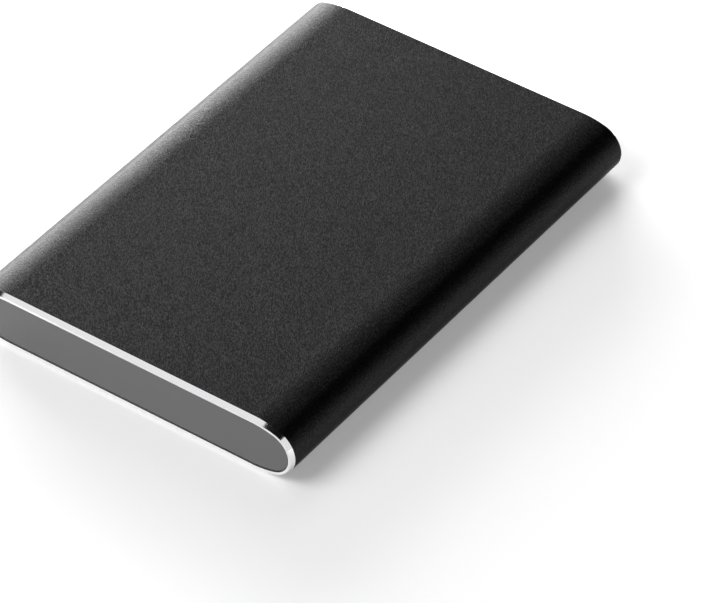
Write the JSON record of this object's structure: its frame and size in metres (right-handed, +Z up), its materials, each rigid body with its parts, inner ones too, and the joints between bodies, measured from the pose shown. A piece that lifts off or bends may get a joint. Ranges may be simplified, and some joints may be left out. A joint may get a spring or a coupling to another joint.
{
  "type": "portable_hard_drive",
  "caption": "Slim portable hard drive: black bead-blasted aluminium sleeve with bright bevelled ends, plain grey end panels and a disc drive on a tray inside.",
  "frame": {"origin": "Centre of the underside of the bounding box, where the case rests.", "axes": "X across the width, Y along the length from the plain front panel to the rear panel with the socket, Z up through the thickness."},
  "size_m": [0.08, 0.117, 0.0129],
  "materials": {
    "black_anodised": "bead-blasted, black anodised, with a bright cut bevel at each end",
    "grey_moulding": "fine satin texture",
    "clear_moulding": "clear, frosted at the ends",
    "black_moulding": "fine moulded texture",
    "foam": "closed-cell foam sheet",
    "board_green": "glass-fibre board with solder mask",
    "nickel_shell": "nickel-plated drawn steel",
    "gold_contacts": "gold flash over copper",
    "chip_black": "moulded epoxy",
    "ferrite": "sintered, dark grey",
    "capacitor_tan": "fired ceramic with tinned ends",
    "cast_aluminium": "die-cast and machined on its seats",
    "cover_steel": "rolled sheet",
    "disc_mirror": "coated glass disc, mirror finish",
    "bright_aluminium": "turned and milled",
    "shaft_steel": "ground",
    "magnet_nickel": "nickel plate",
    "bearing_brass": "turned",
    "copper_wire": "enamelled copper wire",
    "white_moulding": "low-friction moulding",
    "filter_felt": "pressed fibre"
  },
  "bodies": {
    "case": {"sleeve": "black_anodised", "front_panel": "grey_moulding", "rear_panel": "grey_moulding", "light_guide": "clear_moulding", "tray": "black_moulding", "top_pad": "foam", "bridge_board": "board_green", "usb_socket_shell": "nickel_shell", "usb_socket_insulator": "black_moulding", "usb_socket_contacts": "gold_contacts", "sata_socket": "black_moulding", "bridge_chip": "chip_black", "clock_crystal": "nickel_shell", "power_inductor": "ferrite", "board_capacitors": "capacitor_tan", "status_lamp": "clear_moulding", "drive_base": "cast_aluminium", "drive_cover": "cover_steel", "drive_board": "board_green", "controller_chip": "chip_black", "motor_driver_chip": "chip_black", "memory_chip": "chip_black", "drive_plug": "black_moulding", "drive_plug_contacts": "gold_contacts", "spindle_bearing": "bearing_brass", "stator_core": "cover_steel", "stator_windings": "copper_wire", "pivot_post": "shaft_steel", "lower_yoke": "cover_steel", "upper_yoke": "cover_steel", "yoke_posts": "shaft_steel", "yoke_magnets": "magnet_nickel", "load_ramp": "white_moulding", "air_filter": "filter_felt"},
    "spindle": {"disc": "disc_mirror", "spindle_hub": "bright_aluminium", "rotor_magnet": "magnet_nickel", "disc_clamp": "bright_aluminium"},
    "actuator": {"swing_arm": "bright_aluminium", "pivot_bearing": "shaft_steel", "voice_coil": "copper_wire", "head_suspensions": "cover_steel", "head_sliders": "ferrite"}
  },
  "joints": [
    {"name": "disc_spin", "type": "hinge", "parent": "case", "child": "spindle", "pos_m": [0, -0.02012, 0.00645], "axis": [0, 0, 1], "continuous": true},
    {"name": "arm_swing", "type": "hinge", "parent": "case", "child": "actuator", "pos_m": [0.01498, 0.01604, 0.00645], "axis": [0, 0, 1], "range_deg": [0, 32.76]}
  ]
}
